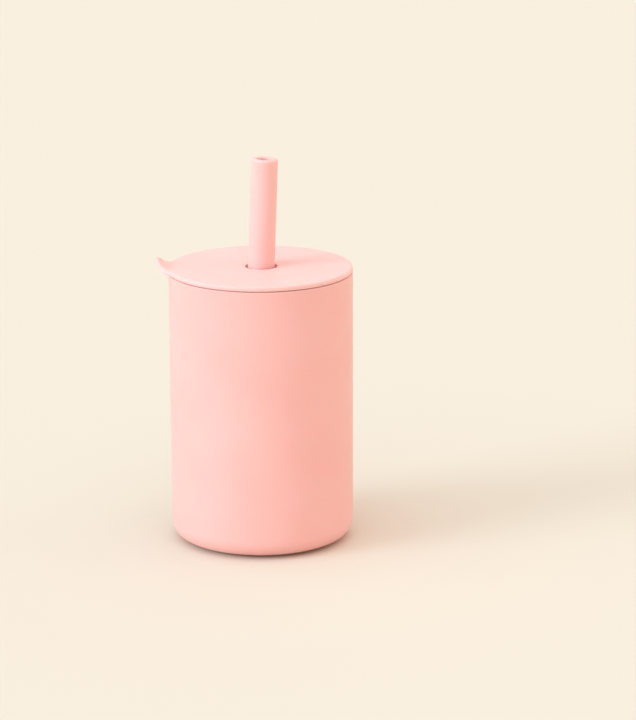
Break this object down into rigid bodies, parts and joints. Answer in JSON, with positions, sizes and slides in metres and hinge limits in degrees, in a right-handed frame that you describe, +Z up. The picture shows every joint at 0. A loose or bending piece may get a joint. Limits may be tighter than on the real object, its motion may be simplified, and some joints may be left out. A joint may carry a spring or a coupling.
{
  "type": "toddler straw cup",
  "caption": "Straight-walled silicone toddler cup with a press-in lid, a curled pull tab at the lid's edge and a soft straw that slides through the lid.",
  "frame": {"origin": "centre of the cup's flat base, on the surface that the cup stands on", "axes": "+Z up along the cup's axis; the lid's pull tab points to -X; the straw leans 2.15 degrees from +Z towards +X"},
  "size_m": [0.0752, 0.07, 0.1482],
  "materials": {
    "cup_silicone": "satin-matte moulded silicone, salmon pink",
    "lid_silicone": "satin-matte moulded silicone, salmon pink",
    "straw_silicone": "satin-matte moulded silicone, salmon pink"
  },
  "bodies": {
    "cup": {"cup": "cup_silicone"},
    "lid": {"lid": "lid_silicone"},
    "straw": {"straw": "straw_silicone"}
  },
  "joints": [
    {"name": "lid_lift", "type": "slide", "parent": "cup", "child": "lid", "axis": [0, 0, 1], "range_m": [0, 0.105]},
    {"name": "straw_slide", "type": "slide", "parent": "lid", "child": "straw", "axis": [0.0375, 0, 0.9993], "range_m": [0, 0.013]}
  ]
}
